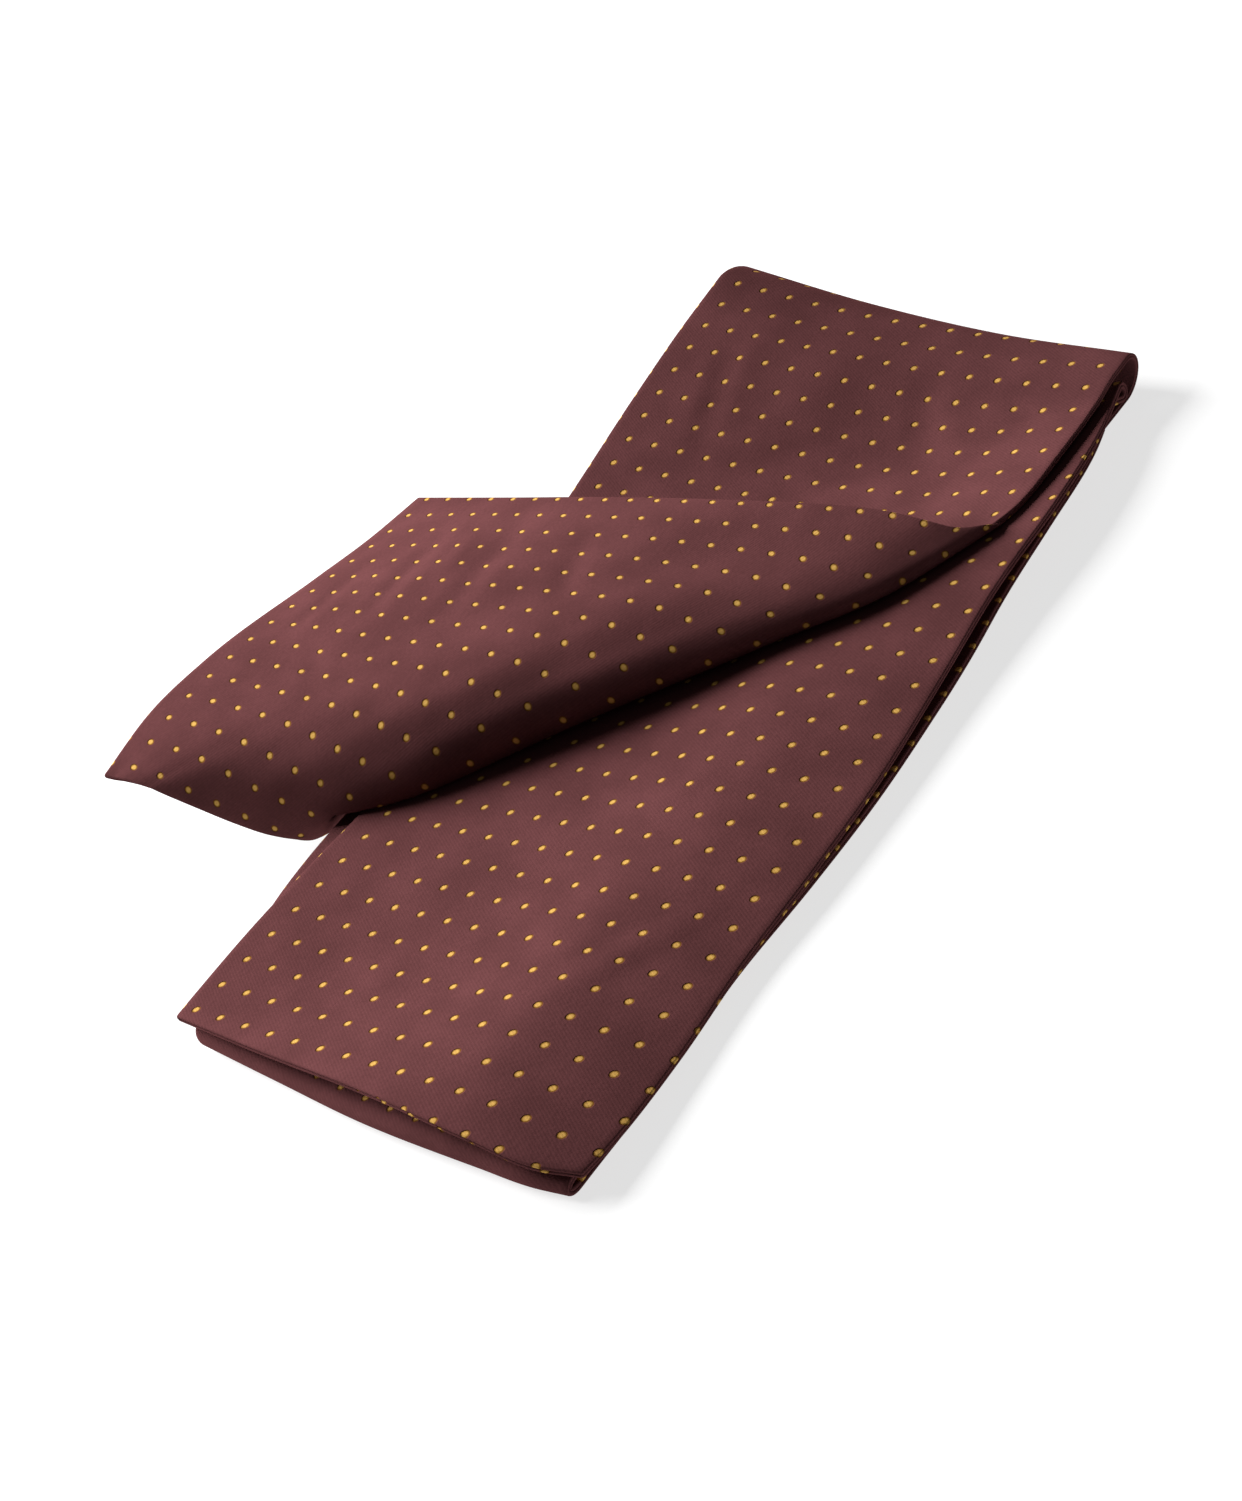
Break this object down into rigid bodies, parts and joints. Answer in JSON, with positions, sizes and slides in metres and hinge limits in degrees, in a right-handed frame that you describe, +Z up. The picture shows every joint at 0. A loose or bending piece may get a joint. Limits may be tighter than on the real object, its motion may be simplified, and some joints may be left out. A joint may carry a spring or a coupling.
{
  "type": "stock tie",
  "caption": "Long flat silk neckcloth with square sewn ends, folded into a stacked band with a loose loop and a diagonal roll, laid on a surface.",
  "frame": {"origin": "centre of the underside of the folded tie's bounding box, on the surface it lies on", "axes": "+Z up from the surface, +Y along the folded band from the near sewn end to the far fold, +X across the band to the right"},
  "size_m": [0.1701, 0.2459, 0.0305],
  "materials": {
    "blade": "wine-red silk twill with small woven golden dots, soft sheen",
    "flap": "wine-red silk twill with small woven golden dots, soft sheen",
    "top_layer": "wine-red silk twill with small woven golden dots, bare at the hem",
    "lower_layers": "wine-red silk twill with small woven golden dots, in shade"
  },
  "bodies": {
    "root": {"blade": "blade", "flap": "flap", "top_layer": "top_layer", "lower_layers": "lower_layers"}
  },
  "joints": []
}
